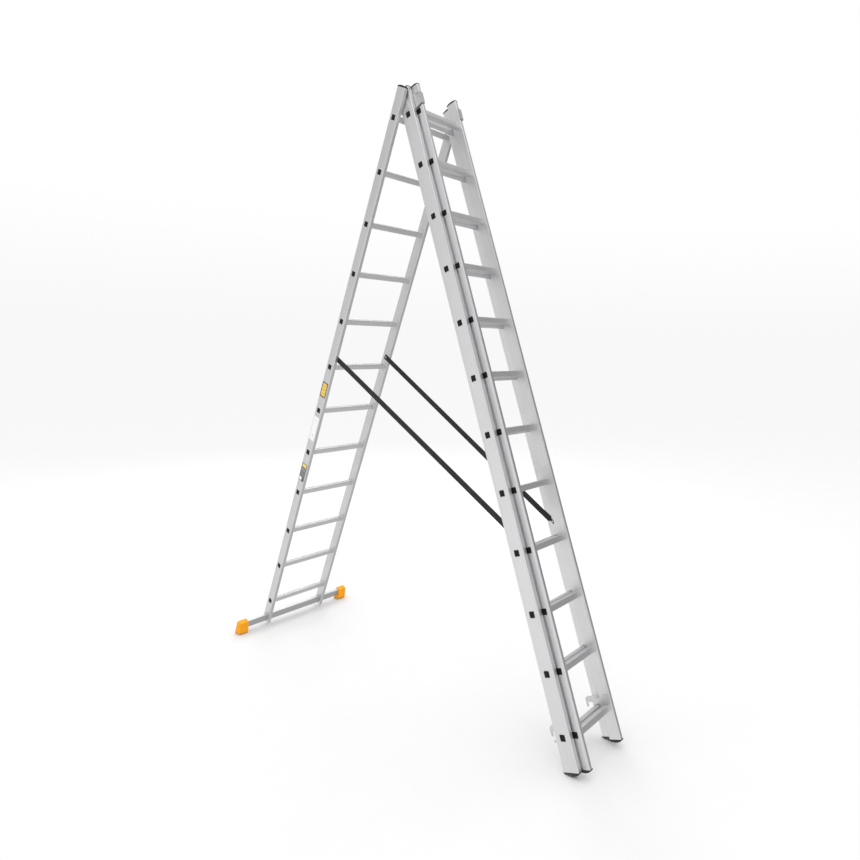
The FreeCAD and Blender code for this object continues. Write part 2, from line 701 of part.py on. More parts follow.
# section B: front leg
save_section(B, WORLD_B, hinge_rivets_b() + guide_rivets() + HOOK_B.rivet_solids() + [STRAP_RIVET_B])
save_pair("foot_b", FOOT_B, WORLD_B)
save("hinge_plates_b", both_sides(hinge_plate_b()), WORLD_B)
save("hinge_rivets_b", both_sides_of(hinge_rivets_b()), WORLD_B)
save("pivot_pins", both_sides(pivot_pin()), WORLD_B)
save("pivot_washers", both_sides(pivot_washer()), WORLD_B)
save_pair("guide_bracket", guide_bracket(), WORLD_B)
save("guide_rivets", both_sides_of(guide_rivets()), WORLD_B)
save("guide_pads", both_sides(guide_pads()), WORLD_B)
save("strap_rivets_b", both_sides(STRAP_RIVET_B), WORLD_B)

# section C: sliding section
save_section(C, WORLD_B, HOOK_C.rivet_solids())
save_pair("foot_c", FOOT_C, WORLD_B)

# hooks, latches, pins and springs on B and C
for hook in (HOOK_B, HOOK_C):
    letter = hook.section.name
    save_pair("hook_" + letter, hook.plate(), WORLD_B)
    save("hook_rivets_" + letter, both_sides_of(hook.rivet_solids()), WORLD_B)
    save_pair("latch_" + letter, hook.latch(), WORLD_B)
    save("latch_pins_" + letter, both_sides(hook.latch_pin()), WORLD_B)
    save("latch_springs_" + letter, both_sides_of(hook.spring()), WORLD_B)

# straps that hold the trestle open
save_pair("strap", STRAP)

# Values that the record's joints and openings use.
print("pivot", round(PIVOT_Y, 3), round(pivot_height(), 3))
print("top rung a", WORLD_A.multVec(at(0, 0, 0)), "top rung b", WORLD_B.multVec(at(0, 0, 0)))
for hook in (HOOK_B, HOOK_C):
    print("latch pin", hook.section.name, WORLD_B.multVec(at(hook.x_low, *hook.pin)))
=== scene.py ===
import json
import math

import bmesh
import bpy
from mathutils import Matrix, Vector


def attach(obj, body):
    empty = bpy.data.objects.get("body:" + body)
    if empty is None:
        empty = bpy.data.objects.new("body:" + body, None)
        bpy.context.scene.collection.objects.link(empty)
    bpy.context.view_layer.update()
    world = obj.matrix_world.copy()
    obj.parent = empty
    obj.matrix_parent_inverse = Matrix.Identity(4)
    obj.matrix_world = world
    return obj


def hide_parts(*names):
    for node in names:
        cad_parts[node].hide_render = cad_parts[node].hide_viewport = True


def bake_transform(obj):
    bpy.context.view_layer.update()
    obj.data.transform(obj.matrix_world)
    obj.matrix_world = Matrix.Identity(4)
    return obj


# Looks for the three-section aluminium ladder. Metres and degrees, in the part's own frame:
# X runs along the rungs, -Y is the climbing side, +Z is up.

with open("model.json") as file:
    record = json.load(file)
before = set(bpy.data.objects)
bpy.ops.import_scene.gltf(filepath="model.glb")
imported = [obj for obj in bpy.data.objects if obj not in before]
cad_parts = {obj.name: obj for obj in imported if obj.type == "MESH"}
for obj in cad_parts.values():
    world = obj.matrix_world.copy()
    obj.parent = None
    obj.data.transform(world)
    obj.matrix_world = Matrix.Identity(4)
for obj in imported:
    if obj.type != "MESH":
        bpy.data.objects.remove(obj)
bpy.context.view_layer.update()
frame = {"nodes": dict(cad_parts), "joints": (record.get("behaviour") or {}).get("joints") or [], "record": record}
record = frame["record"]
joints = {joint["name"]: joint for joint in frame["joints"]}

# ---------------------------------------------------------------- sizes shared by the pieces
LEAN_FRONT = 20.3
LEAN_REAR = 21.5
PIVOT_ABOVE_RUNG = 0.035
PIVOT_AHEAD_FRONT = -0.0415
PIVOT_AHEAD_REAR = 0.0165
RAIL_INNER_A = 0.186
RAIL_OUTER_A = 0.207
RAIL_INNER_B = 0.1555
RAIL_OUTER_B = 0.179
RAIL_INNER_C = 0.1295
RAIL_OUTER_C = 0.148
SECTION_C_AHEAD = 0.0485

STRAP_WIDTH = 0.032
STRAP_THICK = 0.0016
STRAP_SEAT_GAP = 0.0001
STRAP_TAIL = 0.014
STRAP_FLAT_RUN = 0.090
STRAP_REAR = (0.004, 1.340)
STRAP_FRONT = (-0.008, 2.160)
STRAP_TAB = 0.014
STRAP_TAB_LENGTH = 0.020
STRAP_TAPER = 0.007
STRAP_STATIONS = 400
SEALED_LENGTH = 0.003
SEALED_THIN = 0.55
WARP_YARN = 0.0017
WEFT_ROW = 0.0021

LABEL_WIDTH = 0.050
LABEL_THICK = 0.0004
LABEL_CORNER = 0.003
LABEL_STEPS = 6
LABELS = {"label_warning": (1.500, 0.092), "label_notes": (1.722, 0.156),
          "label_rating": (2.041, 0.118)}


def leg_frame(lean, pivot_ahead):
    """Placement of a leg's own flat frame: x across, -y ahead, -z down from the top rung."""
    turn = Matrix.Rotation(math.radians(lean), 4, "X")
    pivot = Vector((0.0, -pivot_ahead, PIVOT_ABOVE_RUNG))
    place = Matrix.Translation(Vector(joints["fold"]["pos_m"]))
    return place @ turn @ Matrix.Translation(-pivot)


REAR_LEG = leg_frame(LEAN_REAR, PIVOT_AHEAD_REAR)
FRONT_LEG = leg_frame(-LEAN_FRONT, PIVOT_AHEAD_FRONT)


def at(x, ahead, down):
    return Vector((x, -ahead, -down))


# ---------------------------------------------------------------- node materials
class Finish:
    """A procedural material, with short ways to add the nodes it needs."""

    def __init__(self, name, roughness=0.5, metallic=0.0, **sockets):
        self.material = bpy.data.materials.new(name)
        self.material.use_nodes = True
        self.tree = self.material.node_tree
        self.tree.nodes.clear()
        self.shader = self.add("ShaderNodeBsdfPrincipled")
        output = self.add("ShaderNodeOutputMaterial")
        self.tree.links.new(self.shader.outputs["BSDF"], output.inputs["Surface"])
        self.shader.inputs["Metallic"].default_value = metallic
        self.shader.inputs["Roughness"].default_value = roughness
        for socket, value in sockets.items():
            self.shader.inputs[socket.replace("_", " ")].default_value = value
        self.bumped = None

    def add(self, kind, **settings):
        node = self.tree.nodes.new(kind)
        for key, value in settings.items():
            setattr(node, key, value)
        return node

    def feed(self, socket, value):
        """Sets a socket to a number or links it to another node's output."""
        if isinstance(value, bpy.types.NodeSocket):
            self.tree.links.new(value, socket)
        else:
            socket.default_value = value

    def place(self, lean=0.0, kind="Object"):
        """Coordinates turned so that z runs along a leaning leg."""
        source = self.add("ShaderNodeTexCoord").outputs[kind]
        return self.mapped(source, rotation=(math.radians(lean), 0.0, 0.0))

    def mapped(self, vector, rotation=(0.0, 0.0, 0.0), scale=(1.0, 1.0, 1.0)):
        node = self.add("ShaderNodeMapping")
        node.inputs["Rotation"].default_value = rotation
        node.inputs["Scale"].default_value = scale
        self.feed(node.inputs["Vector"], vector)
        return node.outputs["Vector"]

    def noise(self, vector, scale=1.0, detail=3.0, rough=0.55, warp=0.0):
        node = self.add("ShaderNodeTexNoise")
        self.feed(node.inputs["Vector"], vector)
        node.inputs["Scale"].default_value = scale
        node.inputs["Detail"].default_value = detail
        node.inputs["Roughness"].default_value = rough
        node.inputs["Distortion"].default_value = warp
        return node.outputs["Fac"]

    def sum(self, kind, first, second, third=None):
        node = self.add("ShaderNodeMath", operation=kind)
        self.feed(node.inputs[0], first)
        self.feed(node.inputs[1], second)
        if third is not None:
            self.feed(node.inputs[2], third)
        return node.outputs[0]

    def spread(self, value, low, high, to_low=0.0, to_high=1.0):
        """Takes a value from one range to another, held at the ends."""
        node = self.add("ShaderNodeMapRange")
        self.feed(node.inputs["Value"], value)
        for socket, number in zip(("From Min", "From Max", "To Min", "To Max"),
                                  (low, high, to_low, to_high)):
            node.inputs[socket].default_value = number
        return node.outputs["Result"]

    def blend(self, factor, first, second):
        """A colour between two colours."""
        node = self.add("ShaderNodeMix", data_type="RGBA")
        self.feed(node.inputs[0], factor)
        for socket, colour in ((node.inputs[6], first), (node.inputs[7], second)):
            self.feed(socket, colour if isinstance(colour, bpy.types.NodeSocket) else (*colour, 1.0))
        return node.outputs[2]

    def colour(self, value):
        self.feed(self.shader.inputs["Base Color"], value)

    def rough(self, value):
        self.feed(self.shader.inputs["Roughness"], value)

    def bump(self, height, distance, strength=1.0):
        """Adds a layer of relief; each layer lies on the one before."""
        node = self.add("ShaderNodeBump")
        self.feed(node.inputs["Height"], height)
        node.inputs["Distance"].default_value = distance
        node.inputs["Strength"].default_value = strength
        if self.bumped:
            self.tree.links.new(self.bumped, node.inputs["Normal"])
        self.bumped = node.outputs["Normal"]
        self.feed(self.shader.inputs["Normal"], self.bumped)


ALONG_RAIL = (900.0, 900.0, 1.6)
ALONG_RUNG = (1.6, 900.0, 900.0)
SPARK_GRAIN = 1700.0


def extrusion(name, lean, stretch, light, dark, smooth, dull):
    """Mill-finish extruded aluminium: die lines along the profile, handling marks, scratches."""
    finish = Finish(name, metallic=0.9, Specular_IOR_Level=0.5)
    place = finish.place(lean)
    lines = finish.noise(finish.mapped(place, scale=stretch), detail=3.0)
    bands = finish.noise(finish.mapped(place, scale=[s / 9 for s in stretch]), detail=2.0)
    clouds = finish.noise(place, scale=4.5, detail=6.0, rough=0.6)
    smears = finish.noise(finish.mapped(place, rotation=(0.0, 0.5, 0.2)), scale=38.0, detail=5.0)
    scratches = finish.noise(finish.mapped(place, rotation=(0.6, 0.35, 0.9), scale=(1500, 60, 60)),
                             detail=1.0)
    cut = finish.spread(scratches, 0.70, 0.74)
    tone = finish.sum("MULTIPLY_ADD", lines, 0.45, finish.sum("MULTIPLY", bands, 0.55))
    base = finish.blend(finish.spread(tone, 0.3, 0.7), dark, light)
    soiled = finish.blend(finish.spread(clouds, 0.52, 0.78, 0.0, 0.35), base,
                          [channel * 0.86 for channel in dark])
    finish.colour(finish.blend(finish.sum("MULTIPLY", cut, 0.35), soiled, (0.95, 0.95, 0.96)))
    marks = finish.sum("MULTIPLY_ADD", clouds, 0.6, finish.sum("MULTIPLY", smears, 0.4))
    haze = finish.spread(marks, 0.35, 0.68, smooth, dull)
    finish.rough(finish.sum("MULTIPLY_ADD", lines, 0.10, haze))
    finish.bump(lines, 0.00012, 0.35)
    finish.bump(cut, 0.00005, 0.4)
    return finish.material


def plated(name, tint):
    """Zinc-plated sheet: rolled grain, faint spangle, dull patches of handling."""
    finish = Finish(name, metallic=0.9)
    place = finish.place()
    grain = finish.noise(finish.mapped(place, scale=(1400, 1400, 90)), detail=3.0)
    cloud = finish.noise(place, scale=55.0, detail=5.0)
    cells = finish.add("ShaderNodeTexVoronoi")
    finish.feed(cells.inputs["Vector"], place)
    cells.inputs["Scale"].default_value = 260.0
    spangle = finish.spread(cells.outputs["Distance"], 0.1, 0.7)
    base = finish.blend(spangle, tint, [channel * 0.88 for channel in tint])
    finish.colour(finish.blend(finish.spread(cloud, 0.45, 0.75, 0.0, 0.5), base, (0.52, 0.51, 0.48)))
    finish.rough(finish.sum("MULTIPLY_ADD", cloud, 0.22, finish.sum("MULTIPLY_ADD", grain, 0.12, 0.2)))
    finish.bump(grain, 0.00008, 0.3)
    finish.bump(spangle, 0.00004, 0.3)
    return finish.material


def moulded(name, colour, worn, rough):
    """Moulded plastic: fine spark texture, flow marks, scuffs where it rubs."""
    finish = Finish(name, Specular_IOR_Level=0.2)
    place = finish.place()
    grain = finish.noise(place, scale=SPARK_GRAIN, detail=2.0)
    flow = finish.noise(place, scale=24.0, detail=4.0, warp=0.6)
    rubbed = finish.noise(finish.mapped(place, rotation=(0.4, 0.2, 0.7), scale=(700, 70, 70)), detail=2.0)
    scuff = finish.sum("MULTIPLY", finish.spread(rubbed, 0.6, 0.72), finish.spread(flow, 0.45, 0.65))
    base = finish.blend(finish.spread(flow, 0.3, 0.75), colour, [channel * 0.86 for channel in colour])
    finish.colour(finish.blend(finish.sum("MULTIPLY", scuff, 0.6), base, worn))
    finish.rough(finish.sum("MULTIPLY_ADD", flow, 0.16, finish.sum("MULTIPLY_ADD", scuff, 0.15, rough)))
    finish.bump(grain, 0.00012, 0.45)
    finish.bump(scuff, 0.00006, 0.5)
    return finish.material


def ground_rubber(name, colour, dust):
    """Moulded rubber with dry dust where it meets the ground."""
    finish = Finish(name, Specular_IOR_Level=0.35)
    place = finish.place()
    grain = finish.noise(place, scale=900.0, detail=4.0)
    patches = finish.noise(place, scale=70.0, detail=5.0)
    axes = finish.add("ShaderNodeSeparateXYZ")
    finish.feed(axes.inputs[0], place)
    near_ground = finish.spread(axes.outputs["Z"], 0.0, 0.02, 0.75, 0.0)
    dusty = finish.sum("MULTIPLY", near_ground, finish.spread(patches, 0.4, 0.65))
    base = finish.blend(finish.spread(patches, 0.3, 0.7), colour, [channel * 1.5 for channel in colour])
    finish.colour(finish.blend(dusty, base, dust))
    finish.rough(finish.sum("MULTIPLY_ADD", patches, 0.2, 0.55))
    finish.bump(grain, 0.0002, 0.5)
    return finish.material


def webbing(name):
    """Black woven polyester: ribs across the strap, crossed by warp yarns along it."""
    finish = Finish(name, Specular_IOR_Level=0.15, Sheen_Weight=0.08, Sheen_Roughness=0.4)
    uv = finish.place(kind="UV")
    axes = finish.add("ShaderNodeSeparateXYZ")
    finish.feed(axes.inputs[0], uv)
    warp = finish.sum("SINE", finish.sum("MULTIPLY", axes.outputs["X"], 2 * math.pi / WARP_YARN), 0.0)
    slope = finish.sum("MULTIPLY", finish.sum("PINGPONG", axes.outputs["X"], 0.006), 0.9)
    rows = finish.sum("MULTIPLY", finish.sum("ADD", axes.outputs["Y"], slope), 2 * math.pi / WEFT_ROW)
    weft = finish.sum("SINE", rows, 0.0)
    yarns = finish.sum("MAXIMUM", warp, weft)
    fuzz = finish.noise(uv, scale=2600.0, detail=3.0)
    fade = finish.noise(finish.mapped(uv, scale=(12.0, 3.0, 1.0)), scale=6.0, detail=4.0)
    # The weave's colour is painted shade: darker in the grooves between the yarns and lighter on their crests,
    # following the same relief as the bump.
    shade = finish.spread(yarns, -0.6, 1.0)
    base = finish.blend(shade, (0.006, 0.006, 0.007), (0.032, 0.032, 0.034))
    finish.colour(finish.blend(finish.spread(fade, 0.45, 0.8, 0.0, 0.5), base, (0.055, 0.054, 0.052)))
    finish.rough(finish.sum("MULTIPLY_ADD", fuzz, 0.25, 0.6))
    finish.bump(yarns, 0.00025, 0.8)
    finish.bump(fuzz, 0.0001, 0.5)
    return finish.material


def inside(finish, coordinate, low, high):
    """1 where a coordinate lies between two values."""
    above = finish.sum("GREATER_THAN", coordinate, low)
    below = finish.sum("LESS_THAN", coordinate, high)
    return finish.sum("MULTIPLY", above, below)


def printed(name, ground, areas):
    """Printed film. areas are (colour, across from and to, along from and to), in shares."""
    finish = Finish(name, Specular_IOR_Level=0.5, Coat_Weight=0.25, Coat_Roughness=0.25)
    uv = finish.place(kind="UV")
    axes = finish.add("ShaderNodeSeparateXYZ")
    finish.feed(axes.inputs[0], uv)
    ink = ground
    for colour, left, right, top, bottom in areas:
        here = finish.sum("MULTIPLY", inside(finish, axes.outputs["X"], left, right),
                          inside(finish, axes.outputs["Y"], top, bottom))
        ink = finish.blend(here, ink, colour)
    place = finish.place()
    rubbed = finish.noise(finish.mapped(place, rotation=(0.3, 0.0, 0.4), scale=(60, 500, 60)), detail=3.0)
    worn = finish.spread(rubbed, 0.62, 0.8, 0.0, 0.35)
    finish.colour(finish.blend(worn, ink, (0.66, 0.66, 0.66)))
    finish.rough(finish.spread(rubbed, 0.3, 0.7, 0.3, 0.48))
    finish.bump(finish.noise(place, scale=500.0, detail=2.0), 0.00006, 0.3)
    return finish.material


SILVER = (0.80, 0.80, 0.805)
SILVER_DARK = (0.70, 0.70, 0.71)
# The two rear silvers below are painted shade: the rear rails are the same aluminium as the front rails, made
# darker for the shade they lie in.
SHADED_REAR_SILVER = (0.72, 0.72, 0.725)
SHADED_REAR_SILVER_DARK = (0.62, 0.62, 0.63)
BLACK = (0.006, 0.006, 0.0065)
FINISHES = {
    "rail_front": extrusion("rail_front", LEAN_FRONT, ALONG_RAIL, SILVER, SILVER_DARK, 0.30, 0.42),
    # The rear rails' finish carries painted shade: its silvers are darker than the front rails'.
    "rail_rear_shaded": extrusion("rail_rear_shaded", -LEAN_REAR, ALONG_RAIL, SHADED_REAR_SILVER, SHADED_REAR_SILVER_DARK, 0.32, 0.44),
    "rung": extrusion("rung", 0.0, ALONG_RUNG, SILVER, SILVER_DARK, 0.38, 0.50),
    "bar": extrusion("bar", 0.0, ALONG_RUNG, (0.62, 0.62, 0.63), (0.52, 0.52, 0.53), 0.32, 0.46),
    "rivet": plated("rivet", (0.82, 0.82, 0.83)),
    "fitting": plated("fitting", (0.74, 0.74, 0.74)),
    "latch": plated("latch", (0.70, 0.69, 0.66)),
    "fastener": plated("fastener", (0.62, 0.62, 0.62)),
    "plug": moulded("plug", BLACK, (0.09, 0.09, 0.09), 0.42),
    "cap": moulded("cap", (0.016, 0.016, 0.017), (0.12, 0.12, 0.12), 0.48),
    "pad": moulded("pad", (0.05, 0.05, 0.052), (0.16, 0.16, 0.16), 0.5),
    "shoe": moulded("shoe", (0.90, 0.37, 0.006), (0.98, 0.55, 0.12), 0.40),
    "foot": ground_rubber("foot", (0.020, 0.020, 0.021), (0.22, 0.21, 0.19)),
    "sole": ground_rubber("sole", (0.030, 0.029, 0.027), (0.26, 0.24, 0.21)),
    "strap": webbing("strap"),
    "label_warning": printed("label_warning", (0.02, 0.02, 0.02), [
        ((0.78, 0.52, 0.06), 0.12, 0.88, 0.07, 0.93), ((0.30, 0.20, 0.03), 0.30, 0.70, 0.22, 0.26),
        ((0.30, 0.20, 0.03), 0.30, 0.70, 0.48, 0.52), ((0.30, 0.20, 0.03), 0.30, 0.70, 0.74, 0.78)]),
    "label_notes": printed("label_notes", (0.74, 0.74, 0.74), [
        ((0.80, 0.80, 0.80), 0.1, 0.9, 0.05, 0.95), ((0.62, 0.62, 0.63), 0.3, 0.7, 0.16, 0.19),
        ((0.30, 0.30, 0.30), 0.42, 0.60, 0.76, 0.80)]),
    "label_rating": printed("label_rating", (0.10, 0.10, 0.105), [
        ((0.80, 0.56, 0.10), 0.12, 0.88, 0.03, 0.21), ((0.22, 0.22, 0.23), 0.12, 0.88, 0.27, 0.45),
        ((0.16, 0.16, 0.165), 0.12, 0.88, 0.50, 0.70), ((0.85, 0.85, 0.85), 0.08, 0.50, 0.78, 0.96)]),
}

CARRIED = {
    "rail_front": ["rail_b_left", "rail_b_right", "rail_c_left", "rail_c_right"],
    "rail_rear_shaded": ["rail_a_left", "rail_a_right"],
    "fastener": ["pivot_pins", "pivot_washers", "latch_pins_b", "latch_pins_c", "stabiliser_inserts"],
}


def wear(piece, finish):
    piece.data.materials.clear()
    piece.data.materials.append(FINISHES[finish])


for finish_name, nodes in CARRIED.items():
    for node in nodes:
        wear(frame["nodes"][node], finish_name)

# ---------------------------------------------------------------- pieces refined from CAD shapes
BODY_OF = {node: body for body, nodes in record["behaviour"]["bodies"].items() for node in nodes}
MERGE = 5e-6
FLAT = math.radians(0.4)
CREASE = math.radians(32.0)


def piece_from(mesh, name):
    data = bpy.data.meshes.new(name)
    mesh.to_mesh(data)
    mesh.free()
    piece = bpy.data.objects.new(name, data)
    bpy.context.scene.collection.objects.link(piece)
    return piece


def finish_piece(piece, node, finish):
    """The piece stands for a CAD node, which it hides, and moves with its body."""
    wear(piece, finish)
    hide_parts(node)
    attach(piece, BODY_OF[node])
    return piece


def soften(piece, width, segments):
    bevel = piece.modifiers.new("soft_edges", "BEVEL")
    bevel.width = width
    bevel.segments = segments
    bevel.limit_method = "ANGLE"
    bevel.angle_limit = CREASE
    bevel.harden_normals = True
    bevel.use_clamp_overlap = True
    piece.data.polygons.foreach_set("use_smooth", [True] * len(piece.data.polygons))
    piece.data.set_sharp_from_angle(angle=CREASE)


def refined(node, finish, width, segments=2):
    """A CAD node's shape with its seams merged and its edges rounded off."""
    mesh = bmesh.new()
    mesh.from_mesh(frame["nodes"][node].data)
    bmesh.ops.remove_doubles(mesh, verts=mesh.verts, dist=MERGE)
    bmesh.ops.dissolve_limit(mesh, angle_limit=FLAT, verts=mesh.verts, edges=mesh.edges)
    piece = piece_from(mesh, node + "_detail")
    soften(piece, width, segments)
    return finish_piece(piece, node, finish)


PANEL_BORDER = 0.0085
PANEL_GROOVE = 0.0035
PANEL_DEPTH = 0.0030
PANEL_LEAST_AREA = 0.0018
PANEL_STEEPEST = 0.6


def panelled(piece):
    """Cuts a grooved square outline into each large upright face of a moulding."""
    mesh = bmesh.new()
    mesh.from_mesh(piece.data)
    faces = [f for f in mesh.faces
             if f.calc_area() > PANEL_LEAST_AREA and abs(f.normal.z) < PANEL_STEEPEST]
    for thickness, depth in ((PANEL_BORDER, 0.0), (PANEL_GROOVE, -PANEL_DEPTH),
                             (PANEL_GROOVE, PANEL_DEPTH)):
        bmesh.ops.inset_individual(mesh, faces=faces, thickness=thickness, depth=depth)
    mesh.to_mesh(piece.data)
    mesh.free()


for side in ("left", "right"):
    panelled(refined("stabiliser_shoe_" + side, "shoe", 0.0016, 3))
    refined("stabiliser_sole_" + side, "sole", 0.0006)
    refined("guide_bracket_" + side, "fitting", 0.0006)
    for section in "bc":
        refined("foot_%s_%s" % (section, side), "foot", 0.0009, 3)
        refined("hook_%s_%s" % (section, side), "fitting", 0.0007)
        refined("latch_%s_%s" % (section, side), "latch", 0.0006)
for section in "abc":
    refined("top_caps_" + section, "cap", 0.0009, 3)
    refined("rung_plugs_" + section, "plug", 0.0005)
for section in "ab":
    refined("hinge_plates_" + section, "fitting", 0.0006)
refined("stabiliser_bar", "bar", 0.0003)
refined("guide_pads", "pad", 0.0005)
for node in ("hinge_rivets_a", "hinge_rivets_b", "guide_rivets", "hook_rivets_b", "hook_rivets_c",
             "strap_rivets_a", "strap_rivets_b"):
    refined(node, "rivet", 0.0009, 3)
refined("stabiliser_bolts", "fastener", 0.0007, 3)
for section in "bc":
    wear(frame["nodes"]["latch_springs_" + section], "fastener")


# ---------------------------------------------------------------- rungs with swaged beads
RUNG_HALF_DEPTH = 0.014
RUNG_HALF_HEIGHT = 0.0145
RUNG_CORNER = 0.0035
RUNG_PITCH = 0.28
EVEN_RUNGS = 10
LOWEST_RUNGS = [2.785, 3.061]
RUNGS = [RUNG_PITCH * i for i in range(EVEN_RUNGS)] + LOWEST_RUNGS
TOP = 0
BOTTOM = len(RUNGS) - 1
BEAD_WIDTH = 0.0026
BEAD_HEIGHT = 0.0012
BEAD_STEPS = 5


def rung_outline(grow):
    """Points round a rung, with the outward direction at each, as (ahead, down) pairs."""
    points = []
    for quarter, (sa, sd) in enumerate(((1, 1), (-1, 1), (-1, -1), (1, -1))):
        for k in range(BEAD_STEPS):
            turn = math.radians(90.0 * quarter + 90.0 * k / (BEAD_STEPS - 1))
            out = (math.cos(turn), math.sin(turn))
            ahead = sa * (RUNG_HALF_DEPTH - RUNG_CORNER) + (RUNG_CORNER + grow) * out[0]
            down = sd * (RUNG_HALF_HEIGHT - RUNG_CORNER) + (RUNG_CORNER + grow) * out[1]
            points.append(((ahead, down), out))
    return points


def bead(mesh, leg, face, toward, ahead, down, grow):
    """A half-round swaged bead where a rung passes a rail's face."""
    rings = []
    for (a, d), out in rung_outline(grow):
        ring = []
        for k in range(BEAD_STEPS):
            turn = math.pi * k / (BEAD_STEPS - 1)
            side = math.cos(turn) * BEAD_WIDTH / 2
            rise = math.sin(turn) * BEAD_HEIGHT
            local = at(face + toward * rise, ahead + a + out[0] * side, down + d + out[1] * side)
            ring.append(mesh.verts.new(leg @ local))
        rings.append(ring)
    for i, ring in enumerate(rings):
        following = rings[(i + 1) % len(rings)]
        for k in range(BEAD_STEPS - 1):
            corners = (ring[k], ring[k + 1], following[k + 1], following[k])
            mesh.faces.new(corners).smooth = True


def beaded_rungs(section, leg, inner, outer, ahead, bare_outer=(), bare_inner=()):
    """A section's rungs, with beads on both faces of both rails."""
    node = "rungs_" + section
    mesh = bmesh.new()
    mesh.from_mesh(frame["nodes"][node].data)
    beads = bmesh.new()
    for number, down in enumerate(RUNGS):
        for sign in (-1, 1):
            if number not in bare_outer:
                bead(beads, leg, sign * outer, sign, ahead, down, BEAD_WIDTH / 2)
            if number not in bare_inner:
                bead(beads, leg, sign * inner, -sign, ahead, down, BEAD_WIDTH / 2)
    bmesh.ops.recalc_face_normals(beads, faces=beads.faces)
    data = bpy.data.meshes.new("beads")
    beads.to_mesh(data)
    beads.free()
    mesh.from_mesh(data)
    bpy.data.meshes.remove(data)
    piece = piece_from(mesh, node + "_beaded")
    piece.data.set_sharp_from_angle(angle=CREASE)
    return finish_piece(piece, node, "rung")


beaded_rungs("a", REAR_LEG, RAIL_INNER_A, RAIL_OUTER_A, 0.0)
beaded_rungs("b", FRONT_LEG, RAIL_INNER_B, RAIL_OUTER_B, 0.0, bare_outer=(TOP,), bare_inner=(BOTTOM,))
beaded_rungs("c", FRONT_LEG, RAIL_INNER_C, RAIL_OUTER_C, SECTION_C_AHEAD, bare_inner=(BOTTOM,))


# ---------------------------------------------------------------- straps
def strap(side, sign):
    """Woven strap from the rear rail to the front rail, with sealed ends and a narrow tab."""
    start = REAR_LEG @ at(0.0, *STRAP_REAR)
    end = FRONT_LEG @ at(0.0, *STRAP_FRONT)
    along = (end - start).normalized()
    across = along.cross(Vector((1.0, 0.0, 0.0)))
    length = (end - start).length
    x_rear = RAIL_INNER_A - STRAP_SEAT_GAP - STRAP_THICK / 2
    x_front = RAIL_INNER_B - STRAP_SEAT_GAP - STRAP_THICK / 2
    profile = [(-0.5, 0.0), (-0.49, 0.36), (-0.45, 0.5), (-0.25, 0.46), (0.0, 0.46), (0.25, 0.46),
               (0.45, 0.5), (0.49, 0.36), (0.5, 0.0), (0.49, -0.36), (0.45, -0.5), (0.25, -0.46),
               (0.0, -0.46), (-0.25, -0.46), (-0.45, -0.5), (-0.49, -0.36)]
    mesh = bmesh.new()
    uv = mesh.loops.layers.uv.new("weave")
    rings = []
    for i in range(STRAP_STATIONS + 1):
        t = -STRAP_TAIL + (length + 2 * STRAP_TAIL) * i / STRAP_STATIONS
        share = min(max((t - STRAP_TAIL) / (length - STRAP_FLAT_RUN - STRAP_TAIL), 0.0), 1.0)
        x = x_rear + (x_front - x_rear) * share
        narrow = min(max((t - (length - STRAP_TAB_LENGTH)) / STRAP_TAPER, 0.0), 1.0)
        width = STRAP_WIDTH + (STRAP_TAB - STRAP_WIDTH) * narrow
        sealed = min(t + STRAP_TAIL, length + STRAP_TAIL - t)
        thick = STRAP_THICK * (SEALED_THIN + (1.0 - SEALED_THIN) * min(sealed / SEALED_LENGTH, 1.0))
        ring = []
        for w, h in profile:
            point = start + along * t + across * (w * width)
            point.x = sign * (x + h * thick)
            ring.append((mesh.verts.new(point), w * width, t))
        rings.append(ring)
    count = len(profile)
    for first, second in zip(rings, rings[1:]):
        for k in range(count):
            corners = [first[k], first[(k + 1) % count], second[(k + 1) % count], second[k]]
            face = mesh.faces.new([corner[0] for corner in corners])
            face.smooth = True
            for loop, corner in zip(face.loops, corners):
                loop[uv].uv = (corner[1], corner[2])
    for ring in (rings[0], rings[-1]):
        mesh.faces.new([vertex for vertex, _, _ in ring])
    bmesh.ops.recalc_face_normals(mesh, faces=mesh.faces)
    piece = piece_from(mesh, "strap_webbing_" + side)
    wear(piece, "strap")
    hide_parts("strap_" + side)
    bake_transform(piece)


strap("right", 1.0)
strap("left", -1.0)


# ---------------------------------------------------------------- labels
def label(node, down, length):
    """Film with rounded corners on the outer face of the rear leg's left rail."""
    mesh = bmesh.new()
    uv = mesh.loops.layers.uv.new("print")
    outline = []
    for corner, (sx, sy) in enumerate(((1, 1), (-1, 1), (-1, -1), (1, -1))):
        for k in range(LABEL_STEPS + 1):
            turn = math.radians(90 * corner + 90 * k / LABEL_STEPS)
            ahead = sx * (LABEL_WIDTH / 2 - LABEL_CORNER) + LABEL_CORNER * math.cos(turn)
            along = sy * (length / 2 - LABEL_CORNER) + LABEL_CORNER * math.sin(turn)
            outline.append((ahead, along))
    outer, inner = [], []
    for ahead, along in outline:
        middle = down + length / 2
        outer.append(mesh.verts.new(at(-RAIL_OUTER_A - LABEL_THICK, ahead, middle + along)))
        inner.append(mesh.verts.new(at(-RAIL_OUTER_A, ahead, middle + along)))
    mesh.faces.new(outer)
    mesh.faces.new(inner)
    for k in range(len(outline)):
        n = (k + 1) % len(outline)
        mesh.faces.new((outer[k], outer[n], inner[n], inner[k]))
    mesh.transform(REAR_LEG)
    bmesh.ops.recalc_face_normals(mesh, faces=mesh.faces)
    shares = {}
    for group in (outer, inner):
        for vertex, (ahead, along) in zip(group, outline):
            shares[vertex] = (ahead / LABEL_WIDTH + 0.5, along / length + 0.5)
    for face in mesh.faces:
        for loop in face.loops:
            loop[uv].uv = shares[loop.vert]
    piece = piece_from(mesh, node + "_film")
    return finish_piece(piece, node, node)


for node, (down, length) in LABELS.items():
    label(node, down, length)

